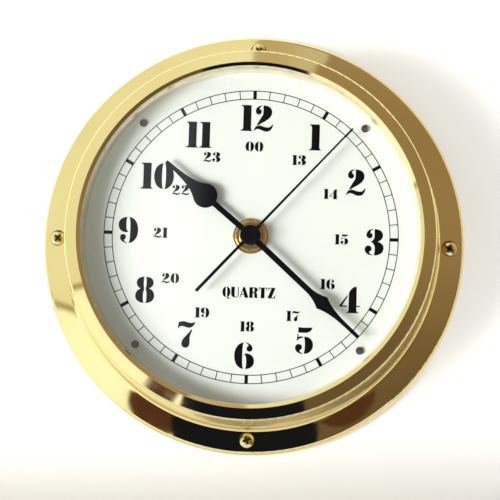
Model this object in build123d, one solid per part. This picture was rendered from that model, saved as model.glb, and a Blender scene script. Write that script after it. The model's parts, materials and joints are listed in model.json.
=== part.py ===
from build123d import *
from math import cos, radians, sin, tan
import os

# Flanged brass ship's clock with a quartz movement, for screwing flat against a bulkhead.
#
# Every piece is drawn on the bench: the clock lies on its back, the clock axis is +Z,
# 12 o'clock is +Y, and heights are measured up from the bulkhead, Z = 0.
# stand_up() then hangs the piece on the bulkhead: the dial faces -Y and 12 o'clock is +Z,
# and the origin is the centre of the flange's rear face.

# ---- case, millimetres ----
FLANGE_R = 75.0
FLANGE_RIM = 3.1            # thickness of the flange at its edge
FLANGE_SLOPE = 18.0         # degrees the flange rises towards the wall
FLANGE_SEAT_R = 0.4         # rounding of the rear face's edges
WALL_FOOT_R = 65.8          # where the flange runs into the side wall
SHOULDER_R = 63.1           # where the side wall runs into the bezel's face
SHOULDER_Z = 34.6
LIP_CREST_R = 58.9          # top of the bezel's lip
LIP_CREST_Z = 36.1
LIP_R = 57.7                # inside of the lip
LIP_SLOPE_Z = 35.5          # the lip's inner slope ends here
PARTING_Z = 21.0            # the bezel meets the case wall here
CASE_BACK_R = 63.6          # open back
CASE_BACK_DEPTH = 6.0       # the open back is straight to here, then follows the wall
CASE_LEDGE = 1.6            # width of the ledge under the dial seat ring
SPIGOT_R = 61.9             # the case spigot that the bezel screws over
SPIGOT_BORE_R = 60.3
SPIGOT_Z = 30.0
THREAD_GAP = 0.1
PARTING_GAP = 0.03

# ---- dial stack ----
SEAT_Z = 23.5
SEAT_BORE_R = 50.5
DIAL_BACK_Z = 26.0
DIAL_Z = 27.0               # front of the dial
DIAL_R = 59.9
GASKET_Z = 32.2
GLASS_Z = 33.0
GLASS_TOP_Z = 34.5
GLASS_R = 60.9
GLASS_GAP = 0.1             # round the glass's edge
GASKET_BORE_R = 58.6
REVEAL_FOOT_R = 56.8        # dial showing inside the reveal ring
REVEAL_STEP_R = 57.4        # where the ring's two cones meet
REVEAL_STEP_Z = 30.2
REVEAL_TOP_R = 58.3
DIAL_SCREW_CIRCLE_R = 54.0
DIAL_SCREW_R = 0.95
DIAL_SCREW_HEAD_R = 1.32
DIAL_SCREW_HEAD_HIGH = 0.75
DIAL_SCREW_ANGLES = (45, 135, 225, 315)
DIAL_SCREW_TURNS = (70, 15, 40, 100)

# ---- bulkhead screws ----
SCREW_CIRCLE_R = 69.6
SCREW_SHANK_R = 1.6         # plain shank, through the flange
SCREW_THREAD_R = 1.5        # threaded length, standing out behind
SCREW_HOLE_R = 1.75
SCREW_HEAD_R = 2.75
SCREW_HEAD_GAP = 0.05
SCREW_HEAD_HIGH = 2.05
SCREW_SEAT_Z = 3.2
SCREW_POINT_Z = -16.0
SCREW_POINT_LONG = 4.5
SCREW_CROSS_LONG = 3.1
SCREW_CROSS_WIDE = 0.6
SCREW_CROSS_DEEP = 1.1
SCREW_ANGLES = (0, 90, 180, 270)
SCREW_TURNS = (38, 62, 20, 50)

# ---- movement ----
MOVEMENT_SIDE = 56.0
MOVEMENT_FRONT_Z = 25.4
MOVEMENT_INNER_FRONT_Z = 24.2
MOVEMENT_FLOOR_Z = 11.3     # inner face of the rear cover
MOVEMENT_REAR_Z = 9.5
MOVEMENT_WALL = 1.2
MOVEMENT_CORNER_R = 2.5
PLATE_Z = 17.7              # train plate, underside
PLATE_TOP_Z = 18.5
PIVOT_R = 0.5
PIVOT_GAP = 0.05            # running clearance, radial
PIVOT_FOOT_Z = 10.3
PIVOT_TOP_Z = 24.9          # arbors that reach into the front wall
PLATE_PIVOT_TOP_Z = 18.4    # arbors that end in the train plate
ARBOR_R = 1.0
SETTING_STEM_R = 1.0
SETTING_KNOB_R = 4.8
SETTING_KNOB_Z = (6.2, 9.1)
SETTING_FLUTES = 24
BATTERY_R = 7.1
BATTERY_LENGTH = 49.5
BATTERY_Y = -19.85
BATTERY_Z = 17.0
BATTERY_BUTTON_R = 2.6
BATTERY_BUTTON_LONG = 1.0
BAY_WALL_Y = -12.0          # middle of the battery bay's inner wall
BAY_WALL_HALF = 0.4
BAY_FLOOR = 0.9             # wall under the battery
CONTACT_THICK = 0.4

# ---- centre stack ----
BUSHING_R = 4.0
BUSHING_BORE_R = 2.58
BUSHING_TOP_Z = 28.9
BUSHING_FLANGE_R = 6.5
BUSHING_FLANGE_Z = 23.4
RUBBER_WASHER_R = 9.0
WASHER_R = 6.15
WASHER_THICK = 0.45
NUT_R = 5.35
NUT_THICK = 1.3
HOUR_PIPE_R = 2.5
HOUR_PIPE_BORE_R = 1.68
HOUR_HAND_Z = 29.2
MINUTE_PIPE_R = 1.6
MINUTE_PIPE_BORE_R = 0.56
MINUTE_HAND_Z = 30.1
SECOND_HAND_Z = 31.0
HAND_THICK = 0.4
SECOND_THICK = 0.3
CAP_R = 3.4
CAP_TOP_Z = 32.5
HOUR_HUB_R = 3.35
MINUTE_HUB_R = 2.9
SECOND_HUB_R = 2.4

# ---- hands at rest, degrees clockwise from 12 ----
HOUR_ANGLE = 309.8
MINUTE_ANGLE = 132.0
SECOND_ANGLE = 42.2
HOUR_LENGTH = 38.6
MINUTE_LENGTH = 50.4
SECOND_LENGTH = 50.6
SECOND_TAIL = 26.6

# ---- gear train: teeth and module of each mesh, pinion first ----
ROTOR_MESH = (8, 48, 0.30)
SECONDS_MESH = (8, 40, 0.36)
THIRD_MESH = (8, 60, 0.36)
CENTRE_MESH = (8, 64, 0.34)
MINUTE_MESH = (12, 36, 0.50)
HOUR_MESH = (10, 40, 0.48)
ADDENDUM = 0.72             # tooth height outside the pitch circle, in modules
DEDENDUM = 1.05             # tooth depth inside the pitch circle, in modules

# ---- gear train layers: bottom and top height of each toothed part ----
ROTOR_PINION_LAYER = (12.9, 14.2)
INTERMEDIATE_WHEEL_LAYER = (13.2, 13.9)
INTERMEDIATE_PINION_LAYER = (13.9, 15.7)
ROTOR_MAGNET_LAYER = (14.4, 16.2)
SECONDS_WHEEL_LAYER = (14.7, 15.4)
SECONDS_PINION_LAYER = (16.1, 17.4)
THIRD_WHEEL_LAYER = (16.4, 17.1)
THIRD_PINION_LAYER = (18.7, 19.9)
CENTRE_WHEEL_LAYER = (18.9, 19.7)
CANNON_LAYER = (20.0, 21.2)
MINUTE_WHEEL_LAYER = (20.2, 21.0)
MINUTE_PINION_LAYER = (21.0, 23.2)
HOUR_WHEEL_LAYER = (21.8, 22.8)

# ---- motor and electrics ----
ROTOR_MAGNET_R = 3.0
ROTOR_TUNNEL_R = 3.75       # hole in the stator round the magnet
STATOR_Z = 14.8
STATOR_THICK = 1.0
STATOR_NECK = 4.7           # half width of the plate at the rotor
STATOR_LOW_Y = -10.9
STATOR_HIGH_Y = 11.6
STATOR_RIGHT_X = 26.2
COIL_X = 23.8
COIL_Z = STATOR_Z + STATOR_THICK / 2 - 0.2
COIL_R = 2.7
COIL_LOW_Y = -7.0
COIL_HIGH_Y = 8.0
COIL_MARGIN = 1.4           # clear of the coil's ends
CORE_THICK = 0.7
BOBBIN_R = 1.9
BOBBIN_CHEEK = 0.7
BOARD_THICK = 0.8
BOARD_TOP_Z = MOVEMENT_FLOOR_Z + BOARD_THICK

# ---- cutters ----
CUT_LOW_Z = -20.0           # below everything
CUT_HIGH_Z = 60.0           # above everything


def centre_distance(mesh):
    pinion, wheel, module = mesh
    return module * (pinion + wheel) / 2


def polar(radius, angle, origin=(0.0, 0.0)):
    """A point at a radius and an angle (degrees, anticlockwise from +X) from an origin."""
    return (origin[0] + radius * cos(radians(angle)), origin[1] + radius * sin(radians(angle)))


def clock_point(radius, angle):
    """A point at a radius and an angle in degrees clockwise from 12 o'clock."""
    return polar(radius, 90 - angle)


CENTRE = (0.0, 0.0)
THIRD_DIRECTION = 60
INTERMEDIATE_DIRECTION = -25
ROTOR_DIRECTION = 0
MINUTE_DIRECTION = 150
THIRD_POST = polar(centre_distance(THIRD_MESH), THIRD_DIRECTION)
INTERMEDIATE_POST = polar(centre_distance(SECONDS_MESH), INTERMEDIATE_DIRECTION)
ROTOR_POST = polar(centre_distance(ROTOR_MESH), ROTOR_DIRECTION, INTERMEDIATE_POST)
MINUTE_POST = polar(centre_distance(MINUTE_MESH), MINUTE_DIRECTION)
SETTING_POST = polar(centre_distance(MINUTE_MESH), MINUTE_DIRECTION, MINUTE_POST)


# ---- shared shapes ----

def stand_up(shape):
    """Bench frame to the part's own frame: bench +Z becomes -Y, bench +Y becomes +Z."""
    return Rot(X=90) * shape


def write(node, shape):
    export_step(stand_up(shape), f"parts/{node}.step")


def turned(*outline, radii=None):
    """Solid of revolution about the clock axis, from (radius, height) corners and their fillets."""
    rounding = radii or [0] * len(outline)
    loop = FilletPolyline(*outline, radius=rounding, close=True)
    return revolve(Plane.XZ * make_face(loop), Axis.Z)


def disc(radius, bottom, top, at=CENTRE):
    return Pos(at[0], at[1], bottom) * Cylinder(
        radius, top - bottom, align=(Align.CENTER, Align.CENTER, Align.MIN)
    )


def tube(radius, bore, bottom, top, at=CENTRE):
    return disc(radius, bottom, top, at) - disc(bore, bottom - 1, top + 1, at)


def drill(radius, at=CENTRE):
    """A cutter for a hole right through."""
    return disc(radius, CUT_LOW_Z, CUT_HIGH_Z, at)


def block(x0, x1, y0, y1, z0, z1):
    return Pos((x0 + x1) / 2, (y0 + y1) / 2, (z0 + z1) / 2) * Box(x1 - x0, y1 - y0, z1 - z0)


def slab(outline, bottom, top):
    """A flat piece cut from sheet: a closed wire or face drawn on XY, between two heights."""
    return Pos(0, 0, bottom) * extrude(make_face(outline), top - bottom)


def ring_of(angles, radius, shape):
    """Copies of a shape at clock angles round a circle, each turned to face the centre."""
    copies = []
    for angle in angles:
        x, y = clock_point(radius, angle)
        copies.append(Pos(x, y, 0) * Rot(Z=-angle) * shape)
    return Compound(children=copies)


def gear(teeth, module, layer, phase, at=CENTRE):
    """A spur gear with one tooth's middle at the phase angle, thinned for running backlash.

    The flank is given as half the tooth's width at the root, pitch and tip circles.
    """
    at_root, at_pitch, at_tip = 0.52, 0.38, 0.16
    pitch_r = module * teeth / 2
    tip_r = pitch_r + ADDENDUM * module
    root_r = pitch_r - DEDENDUM * module
    tooth = 180 / teeth
    corners = []
    for k in range(teeth):
        middle = phase + 2 * tooth * k
        corners += [
            polar(root_r, middle - at_root * tooth),
            polar(pitch_r, middle - at_pitch * tooth),
            polar(tip_r, middle - at_tip * tooth),
            polar(tip_r, middle + at_tip * tooth),
            polar(pitch_r, middle + at_pitch * tooth),
            polar(root_r, middle + at_root * tooth),
        ]
    return Pos(at[0], at[1], 0) * slab(Polyline(*corners, close=True), *layer)


def meshing_phase(teeth, other_teeth, other_phase, direction):
    """Phase that puts a gap of this gear over the other gear's tooth.

    direction is the angle from the other gear's centre to this one's.
    """
    return direction + 180 - (other_teeth / teeth) * (other_phase - direction) - 180 / teeth


# ---- case ----

def flange_height(radius):
    return FLANGE_RIM + (FLANGE_R - radius) * tan(radians(FLANGE_SLOPE))


def wall_radius(height):
    """The side wall tapers evenly from the flange to the shoulder."""
    foot_z = flange_height(WALL_FOOT_R)
    share = (height - foot_z) / (SHOULDER_Z - foot_z)
    return WALL_FOOT_R + (SHOULDER_R - WALL_FOOT_R) * share


def case_body():
    """Turned brass flange and side wall, open at the back, with a threaded spigot in front."""
    ledge_r = SPIGOT_BORE_R - CASE_LEDGE
    shell = turned(
        (CASE_BACK_R, CASE_BACK_DEPTH),
        (wall_radius(PARTING_Z) - 2.2, SEAT_Z - 4.3),
        (ledge_r, SEAT_Z - 1.8),
        (ledge_r, SEAT_Z),
        (SPIGOT_BORE_R, SEAT_Z),
        (SPIGOT_BORE_R, SPIGOT_Z),
        (SPIGOT_R, SPIGOT_Z),
        (SPIGOT_R, PARTING_Z),
        (wall_radius(PARTING_Z), PARTING_Z),
        (WALL_FOOT_R, flange_height(WALL_FOOT_R)),
        (FLANGE_R, FLANGE_RIM),
        (FLANGE_R, 0),
        (CASE_BACK_R, 0),
        radii=[1.0, 1.0, 0.2, 0.2, 0, 0.3, 0.3, 0, 0.05, 1.6, 1.9, FLANGE_SEAT_R, FLANGE_SEAT_R],
    )
    seat = disc(SCREW_HEAD_R + SCREW_HEAD_GAP, SCREW_SEAT_Z, CUT_HIGH_Z)
    seats = ring_of(SCREW_ANGLES, SCREW_CIRCLE_R, seat)
    holes = ring_of(SCREW_ANGLES, SCREW_CIRCLE_R, drill(SCREW_HOLE_R))
    return shell - seats - holes


def bezel_ring():
    """Brass ring that screws over the spigot and holds the glass under its lip."""
    bore_r = SPIGOT_R + THREAD_GAP
    foot_z = PARTING_Z + PARTING_GAP
    thread_top_z = SPIGOT_Z + 0.4
    pocket_r = GLASS_R + GLASS_GAP
    return turned(
        (bore_r, foot_z),
        (wall_radius(foot_z), foot_z),
        (SHOULDER_R, SHOULDER_Z),
        (LIP_CREST_R, LIP_CREST_Z),
        (LIP_R, LIP_SLOPE_Z),
        (LIP_R, GLASS_TOP_Z),
        (pocket_r, GLASS_TOP_Z),
        (pocket_r, thread_top_z),
        (bore_r, thread_top_z),
        radii=[0.05, 0.05, 0.9, 0.2, 0.1, 0, 0.2, 0, 0],
    )


def glass():
    return turned(
        (0, GLASS_Z),
        (GLASS_R, GLASS_Z),
        (GLASS_R, GLASS_TOP_Z),
        (0, GLASS_TOP_Z),
        radii=[0, 0.2, 0.2, 0],
    )


def glass_gasket():
    """Flat black rubber ring that cushions the glass from behind."""
    return tube(GLASS_R, GASKET_BORE_R, GASKET_Z, GLASS_Z)


def reveal_ring():
    """Brass ring between the dial and the glass, with two polished cones inside."""
    outer_r = SPIGOT_BORE_R - 0.2
    return turned(
        (REVEAL_FOOT_R, DIAL_Z),
        (outer_r, DIAL_Z),
        (outer_r, GASKET_Z),
        (REVEAL_TOP_R, GASKET_Z),
        (REVEAL_STEP_R, REVEAL_STEP_Z),
        radii=[0, 0.2, 0.2, 0.15, 0.3],
    )


def dial_seat_ring():
    """Flat ring on the case's inner shoulder, drilled and tapped for the dial screws."""
    outer_r = SPIGOT_BORE_R - 0.05
    ring = turned(
        (SEAT_BORE_R, SEAT_Z),
        (outer_r, SEAT_Z),
        (outer_r, DIAL_BACK_Z),
        (SEAT_BORE_R, DIAL_BACK_Z),
        radii=[0.3, 0.2, 0, 0.3],
    )
    return ring - ring_of(DIAL_SCREW_ANGLES, DIAL_SCREW_CIRCLE_R, drill(DIAL_SCREW_R))


def dial_plate():
    plate = disc(DIAL_R, DIAL_BACK_Z, DIAL_Z) - drill(BUSHING_R + 0.1)
    return plate - ring_of(DIAL_SCREW_ANGLES, DIAL_SCREW_CIRCLE_R, drill(DIAL_SCREW_R + 0.15))


def dial_screws():
    """Four small slotted cheese-head screws, M2."""
    top = DIAL_Z + DIAL_SCREW_HEAD_HIGH
    shank = disc(DIAL_SCREW_R, SEAT_Z + 0.2, DIAL_Z)
    head = turned(
        (0, DIAL_Z),
        (DIAL_SCREW_HEAD_R, DIAL_Z),
        (DIAL_SCREW_HEAD_R, top),
        (0, top),
        radii=[0, 0, 0.25, 0],
    )
    slot = block(-DIAL_SCREW_HEAD_R, DIAL_SCREW_HEAD_R, -0.19, 0.19, top - 0.4, CUT_HIGH_Z)
    screws = []
    for angle, slot_turn in zip(DIAL_SCREW_ANGLES, DIAL_SCREW_TURNS):
        x, y = clock_point(DIAL_SCREW_CIRCLE_R, angle)
        screws.append(Pos(x, y, 0) * (shank + head - Rot(Z=slot_turn) * slot))
    return Compound(children=screws)


def flange_screws():
    """Four brass cross-recess wood screws through the flange, points out behind."""
    top = SCREW_SEAT_Z + SCREW_HEAD_HIGH
    body = turned(
        (0, SCREW_POINT_Z),
        (SCREW_THREAD_R, SCREW_POINT_Z + SCREW_POINT_LONG),
        (SCREW_THREAD_R, 0),
        (SCREW_SHANK_R, 0),
        (SCREW_SHANK_R, SCREW_SEAT_Z),
        (SCREW_HEAD_R, SCREW_SEAT_Z),
        (SCREW_HEAD_R, top - 1.0),
        (SCREW_HEAD_R / 2, top),
        (0, top),
        radii=[0, 0.5, 0, 0, 0, 0, 0.75, 0.9, 0],
    )
    half_long = SCREW_CROSS_LONG / 2
    half_wide = SCREW_CROSS_WIDE / 2
    floor = top - SCREW_CROSS_DEEP
    cross = block(-half_long, half_long, -half_wide, half_wide, floor, CUT_HIGH_Z)
    cross += block(-half_wide, half_wide, -half_long, half_long, floor, CUT_HIGH_Z)
    screws = []
    for angle, turn in zip(SCREW_ANGLES, SCREW_TURNS):
        x, y = clock_point(SCREW_CIRCLE_R, angle)
        screws.append(Pos(x, y, 0) * Rot(Z=turn) * (body - cross))
    return Compound(children=screws)


# ---- movement housing ----

def movement_front_case():
    """Moulded box that opens to the rear, with the battery bay along its lower edge."""
    half = MOVEMENT_SIDE / 2
    inner = half - MOVEMENT_WALL
    shell = block(-half, half, -half, half, MOVEMENT_FLOOR_Z, MOVEMENT_FRONT_Z)
    shell = fillet(shell.edges().filter_by(Axis.Z), MOVEMENT_CORNER_R)
    for low, high in (
        (BAY_WALL_Y + BAY_WALL_HALF, inner),
        (-half + BAY_FLOOR, BAY_WALL_Y - BAY_WALL_HALF),
    ):
        shell -= block(-inner, inner, low, high, CUT_LOW_Z, MOVEMENT_INNER_FRONT_Z)
    shell -= drill(BUSHING_R + 0.05)
    for post, radius in (
        (THIRD_POST, PIVOT_R),
        (MINUTE_POST, PIVOT_R),
        (SETTING_POST, SETTING_STEM_R),
    ):
        shell -= disc(radius + PIVOT_GAP, CUT_LOW_Z, PIVOT_TOP_Z + 0.1, post)
    return shell


def movement_rear_cover():
    """Moulded rear cover, cut away over the battery, with the arbors' rear bearings."""
    half = MOVEMENT_SIDE / 2
    inner = half - MOVEMENT_WALL
    cover = block(-half, half, -half, half, MOVEMENT_REAR_Z, MOVEMENT_FLOOR_Z)
    cover = fillet(cover.edges().filter_by(Axis.Z), MOVEMENT_CORNER_R)
    cover = chamfer(cover.faces().sort_by(Axis.Z)[0].outer_wire().edges(), 0.5)
    bay = block(
        -inner, inner, -half + BAY_FLOOR, BAY_WALL_Y - BAY_WALL_HALF, CUT_LOW_Z, CUT_HIGH_Z
    )
    cover -= bay
    for post in (CENTRE, THIRD_POST, INTERMEDIATE_POST, ROTOR_POST):
        cover -= disc(PIVOT_R + PIVOT_GAP, PIVOT_FOOT_Z - 0.1, CUT_HIGH_Z, post)
    cover -= drill(SETTING_STEM_R + PIVOT_GAP, SETTING_POST)
    edge = half - 1.5
    groove = tube(9.0, 8.4, CUT_LOW_Z, MOVEMENT_REAR_Z + 0.35, SETTING_POST)
    return cover - (groove & block(-edge, edge, BAY_WALL_Y, edge, CUT_LOW_Z, CUT_HIGH_Z))


def train_plate():
    """Moulded plate across the box that carries the arbors' front bearings."""
    inner = MOVEMENT_SIDE / 2 - MOVEMENT_WALL - 0.05
    low = BAY_WALL_Y + BAY_WALL_HALF + 0.05
    plate = block(-inner, COIL_X - COIL_R - 1.3, low, inner, PLATE_Z, PLATE_TOP_Z)
    for post in (CENTRE, INTERMEDIATE_POST, ROTOR_POST, MINUTE_POST):
        plate -= drill(PIVOT_R + PIVOT_GAP, post)
    plate -= drill(2.2, THIRD_POST)
    return plate - drill(SETTING_STEM_R + 0.3, SETTING_POST)


def threaded_bushing():
    """Brass tube through the dial that clamps the movement to it."""
    return turned(
        (BUSHING_BORE_R, BUSHING_FLANGE_Z),
        (BUSHING_FLANGE_R, BUSHING_FLANGE_Z),
        (BUSHING_FLANGE_R, MOVEMENT_INNER_FRONT_Z),
        (BUSHING_R, MOVEMENT_INNER_FRONT_Z),
        (BUSHING_R, BUSHING_TOP_Z),
        (BUSHING_BORE_R, BUSHING_TOP_Z),
        radii=[0, 0.1, 0.1, 0, 0.25, 0],
    )


def rubber_washer():
    return tube(RUBBER_WASHER_R, BUSHING_R + 0.1, MOVEMENT_FRONT_Z, DIAL_BACK_Z)


def centre_washer():
    top = DIAL_Z + WASHER_THICK
    return turned(
        (BUSHING_R + 0.1, DIAL_Z),
        (WASHER_R, DIAL_Z),
        (WASHER_R, top),
        (BUSHING_R + 0.1, top),
        radii=[0, 0, 0.2, 0],
    )


def centre_nut():
    """Round brass nut with a stepped, dished face and two spanner notches."""
    foot = DIAL_Z + WASHER_THICK
    top = foot + NUT_THICK
    nut = turned(
        (BUSHING_R, foot), (NUT_R, foot), (NUT_R, top), (BUSHING_R, top), radii=[0, 0, 0.4, 0.2]
    )
    notch = block(-0.45, 0.45, NUT_R - 0.6, NUT_R + 1, top - 0.65, CUT_HIGH_Z)
    return nut - notch - Rot(Z=180) * notch


# ---- gear train ----

SECONDS_PHASE = 0.0
THIRD_PHASE = meshing_phase(THIRD_MESH[1], THIRD_MESH[0], SECONDS_PHASE, THIRD_DIRECTION)
THIRD_PINION_PHASE = 11.0
CENTRE_PHASE = meshing_phase(
    CENTRE_MESH[1], CENTRE_MESH[0], THIRD_PINION_PHASE, THIRD_DIRECTION + 180
)
SECONDS_WHEEL_PHASE = 4.0
INTERMEDIATE_PINION_PHASE = meshing_phase(
    SECONDS_MESH[0], SECONDS_MESH[1], SECONDS_WHEEL_PHASE, INTERMEDIATE_DIRECTION
)
INTERMEDIATE_PHASE = 2.0
ROTOR_PHASE = meshing_phase(
    ROTOR_MESH[0], ROTOR_MESH[1], INTERMEDIATE_PHASE, ROTOR_DIRECTION
)
CANNON_PHASE = 7.0
MINUTE_WHEEL_PHASE = meshing_phase(
    MINUTE_MESH[1], MINUTE_MESH[0], CANNON_PHASE, MINUTE_DIRECTION
)
SETTING_PHASE = meshing_phase(
    MINUTE_MESH[0], MINUTE_MESH[1], MINUTE_WHEEL_PHASE, MINUTE_DIRECTION
)
HOUR_WHEEL_PHASE = 3.0
MINUTE_PINION_PHASE = meshing_phase(
    HOUR_MESH[0], HOUR_MESH[1], HOUR_WHEEL_PHASE, MINUTE_DIRECTION
)


def wheel_of(mesh, layer, phase, at=CENTRE):
    """The larger gear of a mesh."""
    return gear(mesh[1], mesh[2], layer, phase, at)


def pinion_of(mesh, layer, phase, at=CENTRE):
    """The smaller gear of a mesh."""
    return gear(mesh[0], mesh[2], layer, phase, at)


def second_wheel():
    """Seconds wheel and pinion on the long centre arbor that carries the second hand."""
    wheel = wheel_of(SECONDS_MESH, SECONDS_WHEEL_LAYER, SECONDS_WHEEL_PHASE)
    wheel += pinion_of(THIRD_MESH, SECONDS_PINION_LAYER, SECONDS_PHASE)
    wheel += disc(ARBOR_R, SECONDS_WHEEL_LAYER[0] - 1.1, SECONDS_PINION_LAYER[0] + 0.1)
    return wheel + disc(PIVOT_R, PIVOT_FOOT_Z, SECOND_HAND_Z + SECOND_THICK)


def third_wheel():
    wheel = wheel_of(THIRD_MESH, THIRD_WHEEL_LAYER, THIRD_PHASE, THIRD_POST)
    wheel += pinion_of(CENTRE_MESH, THIRD_PINION_LAYER, THIRD_PINION_PHASE, THIRD_POST)
    wheel += disc(ARBOR_R, THIRD_WHEEL_LAYER[0] - 1.0, THIRD_PINION_LAYER[0] + 0.1, THIRD_POST)
    return wheel + disc(PIVOT_R, PIVOT_FOOT_Z, PIVOT_TOP_Z, THIRD_POST)


def centre_wheel():
    """Wheel gripped by friction on the cannon pinion."""
    return wheel_of(CENTRE_MESH, CENTRE_WHEEL_LAYER, CENTRE_PHASE) - drill(MINUTE_PIPE_R)


def cannon_pinion():
    """Pipe that carries the minute hand, with the pinion that drives the motion work."""
    pinion = pinion_of(MINUTE_MESH, CANNON_LAYER, CANNON_PHASE)
    pinion += disc(MINUTE_PIPE_R, CENTRE_WHEEL_LAYER[0] - 0.2, MINUTE_HAND_Z + HAND_THICK)
    return pinion - drill(MINUTE_PIPE_BORE_R)


def minute_wheel():
    wheel = wheel_of(MINUTE_MESH, MINUTE_WHEEL_LAYER, MINUTE_WHEEL_PHASE, MINUTE_POST)
    wheel += pinion_of(HOUR_MESH, MINUTE_PINION_LAYER, MINUTE_PINION_PHASE, MINUTE_POST)
    return wheel + disc(PIVOT_R, PLATE_Z + 0.1, PIVOT_TOP_Z, MINUTE_POST)


def hour_wheel():
    """Hour wheel with the pipe that carries the hour hand."""
    wheel = wheel_of(HOUR_MESH, HOUR_WHEEL_LAYER, HOUR_WHEEL_PHASE)
    wheel += disc(HOUR_PIPE_R, HOUR_WHEEL_LAYER[0], HOUR_HAND_Z + HAND_THICK)
    return wheel - drill(HOUR_PIPE_BORE_R)


def intermediate_wheel():
    post = INTERMEDIATE_POST
    wheel = wheel_of(ROTOR_MESH, INTERMEDIATE_WHEEL_LAYER, INTERMEDIATE_PHASE, post)
    wheel += pinion_of(SECONDS_MESH, INTERMEDIATE_PINION_LAYER, INTERMEDIATE_PINION_PHASE, post)
    return wheel + disc(PIVOT_R, PIVOT_FOOT_Z, PLATE_PIVOT_TOP_Z, post)


def rotor_pinion():
    pinion = pinion_of(ROTOR_MESH, ROTOR_PINION_LAYER, ROTOR_PHASE, ROTOR_POST)
    return pinion + disc(PIVOT_R, PIVOT_FOOT_Z, PLATE_PIVOT_TOP_Z, ROTOR_POST)


def rotor_magnet():
    return tube(ROTOR_MAGNET_R, PIVOT_R, *ROTOR_MAGNET_LAYER, ROTOR_POST)


def setting_knob():
    """Fluted knob behind the rear cover, on a stem with the pinion that sets the hands."""
    bottom, top = SETTING_KNOB_Z
    knob = disc(SETTING_KNOB_R, bottom, top, SETTING_POST)
    for k in range(SETTING_FLUTES):
        flute = polar(SETTING_KNOB_R + 0.15, k * 360 / SETTING_FLUTES, SETTING_POST)
        knob -= drill(0.32, flute)
    knob -= Pos(*SETTING_POST, bottom) * Torus(2.4, 0.35)
    stem = disc(SETTING_STEM_R, top - 0.1, PIVOT_TOP_Z, SETTING_POST)
    return knob + stem + pinion_of(MINUTE_MESH, CANNON_LAYER, SETTING_PHASE, SETTING_POST)


# ---- motor and electrics ----

def stator():
    """Soft iron plate round the rotor, with two arms that reach the coil's core."""
    spine_left = ROTOR_POST[0] - STATOR_NECK
    spine_right = ROTOR_POST[0] + STATOR_NECK
    finger = spine_right - 2.6
    outline = Polyline(
        (spine_left, STATOR_LOW_Y),
        (STATOR_RIGHT_X, STATOR_LOW_Y),
        (STATOR_RIGHT_X, COIL_LOW_Y - COIL_MARGIN),
        (spine_right, COIL_LOW_Y - COIL_MARGIN),
        (spine_right, COIL_HIGH_Y + COIL_MARGIN),
        (STATOR_RIGHT_X, COIL_HIGH_Y + COIL_MARGIN),
        (STATOR_RIGHT_X, STATOR_HIGH_Y),
        (finger, STATOR_HIGH_Y),
        (finger, 1.2),
        (spine_left, 1.2),
        close=True,
    )
    plate = slab(outline, STATOR_Z, STATOR_Z + STATOR_THICK)
    return plate - drill(ROTOR_TUNNEL_R, ROTOR_POST)


def coil_core():
    """Soft iron bar that closes the magnetic circuit through the coil."""
    bottom = STATOR_Z - CORE_THICK
    bar = block(COIL_X - 1.2, COIL_X + 1.2, STATOR_LOW_Y, STATOR_HIGH_Y, bottom, STATOR_Z)
    waist = block(
        COIL_X - 1.0, COIL_X + 1.0, COIL_LOW_Y - 1.2, COIL_HIGH_Y + 1.2, bottom, STATOR_Z + 0.6
    )
    return bar + waist


def lying_disc(radius, y0, y1):
    """A disc about the coil's own axis, which lies along Y."""
    return Pos(COIL_X, (y0 + y1) / 2, COIL_Z) * Rot(X=90) * Cylinder(radius, y1 - y0)


def coil_bobbin():
    spool = lying_disc(BOBBIN_R, COIL_LOW_Y, COIL_HIGH_Y)
    spool += lying_disc(COIL_R + 0.15, COIL_LOW_Y, COIL_LOW_Y + BOBBIN_CHEEK)
    spool += lying_disc(COIL_R + 0.15, COIL_HIGH_Y - BOBBIN_CHEEK, COIL_HIGH_Y)
    return spool - coil_core()


def coil_winding():
    winding = lying_disc(COIL_R - 0.1, COIL_LOW_Y + BOBBIN_CHEEK, COIL_HIGH_Y - BOBBIN_CHEEK)
    return winding - lying_disc(BOBBIN_R, COIL_LOW_Y, COIL_HIGH_Y)


def circuit_board():
    return block(5.0, 26.4, 13.2, 26.4, MOVEMENT_FLOOR_Z, BOARD_TOP_Z)


def timing_chip():
    body = block(8.0, 13.0, 18.0, 23.0, BOARD_TOP_Z, BOARD_TOP_Z + 1.0)
    return fillet(body.edges().filter_by(Axis.Z), 0.8)


def crystal_can():
    return Pos(20.5, 19.8, BOARD_TOP_Z + 1.0) * Rot(Y=90) * Cylinder(1.0, 6.0)


def along_cell(x, shape):
    """A shape drawn along Z, laid on the cell's axis with its middle at x."""
    return Pos(x, BATTERY_Y, BATTERY_Z) * Rot(Y=90) * shape


def battery():
    """AA cell, its button to the right as seen from the front."""
    cell = chamfer(Cylinder(BATTERY_R, BATTERY_LENGTH).edges(), 0.5)
    button_x = (BATTERY_LENGTH + BATTERY_BUTTON_LONG) / 2
    button = Cylinder(BATTERY_BUTTON_R, BATTERY_BUTTON_LONG)
    return along_cell(0, cell) + along_cell(button_x, button)


def contact_strip(x, half_wide):
    """Upright metal strip across the end of the battery bay."""
    return block(
        x,
        x + CONTACT_THICK,
        BATTERY_Y - half_wide,
        BATTERY_Y + half_wide,
        BATTERY_Z - 4,
        BATTERY_Z + 5,
    )


def contact_positive():
    return contact_strip(BATTERY_LENGTH / 2 + BATTERY_BUTTON_LONG, 4.0)


def contact_negative():
    """Strip with a raised cone that presses on the cell's base."""
    cone_long = 1.2
    base_x = -BATTERY_LENGTH / 2
    strip = contact_strip(base_x - cone_long - CONTACT_THICK, 5.0)
    return strip + along_cell(base_x - cone_long / 2, Cone(3.0, 1.8, cone_long))


# ---- hands, drawn pointing to 12 and then turned ----

def hand_slab(right_side, height, thick):
    """A flat hand that is symmetric about its own line; right_side runs from root to tip."""
    left_side = mirror(right_side, about=Plane.YZ)
    return Pos(0, 0, height) * extrude(make_face(right_side + left_side), thick)


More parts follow.
